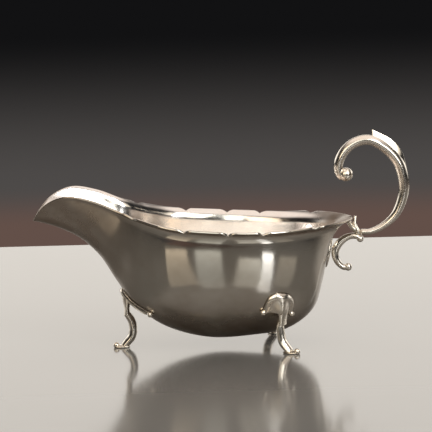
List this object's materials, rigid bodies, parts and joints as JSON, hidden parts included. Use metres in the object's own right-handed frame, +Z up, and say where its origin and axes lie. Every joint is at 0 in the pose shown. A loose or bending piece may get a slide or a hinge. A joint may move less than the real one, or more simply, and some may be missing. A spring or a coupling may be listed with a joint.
{
  "type": "sauce boat",
  "caption": "Silver sauce boat with a shaped rim and broad pouring spout, scroll legs with shell knees, and an open flying scroll handle.",
  "frame": {"origin": "centre of the bounding box, on the table plane under the three feet", "axes": "+X from the spout towards the handle, +Z up, Y across the boat, its middle plane at Y = 0"},
  "size_m": [0.1697, 0.0818, 0.0964],
  "materials": {
    "silver": "polished",
    "shaded_silver": "polished, with a darker patina"
  },
  "bodies": {
    "root": {"body": "silver", "handle_scroll": "silver", "handle_root_leaf": "silver", "bracket_scroll": "silver", "stern_plate": "shaded_silver", "front_leg": "silver", "front_knee_plate": "silver", "rear_left_leg": "silver", "rear_left_knee_plate": "silver", "rear_right_leg": "silver", "rear_right_knee_plate": "silver"}
  },
  "joints": []
}
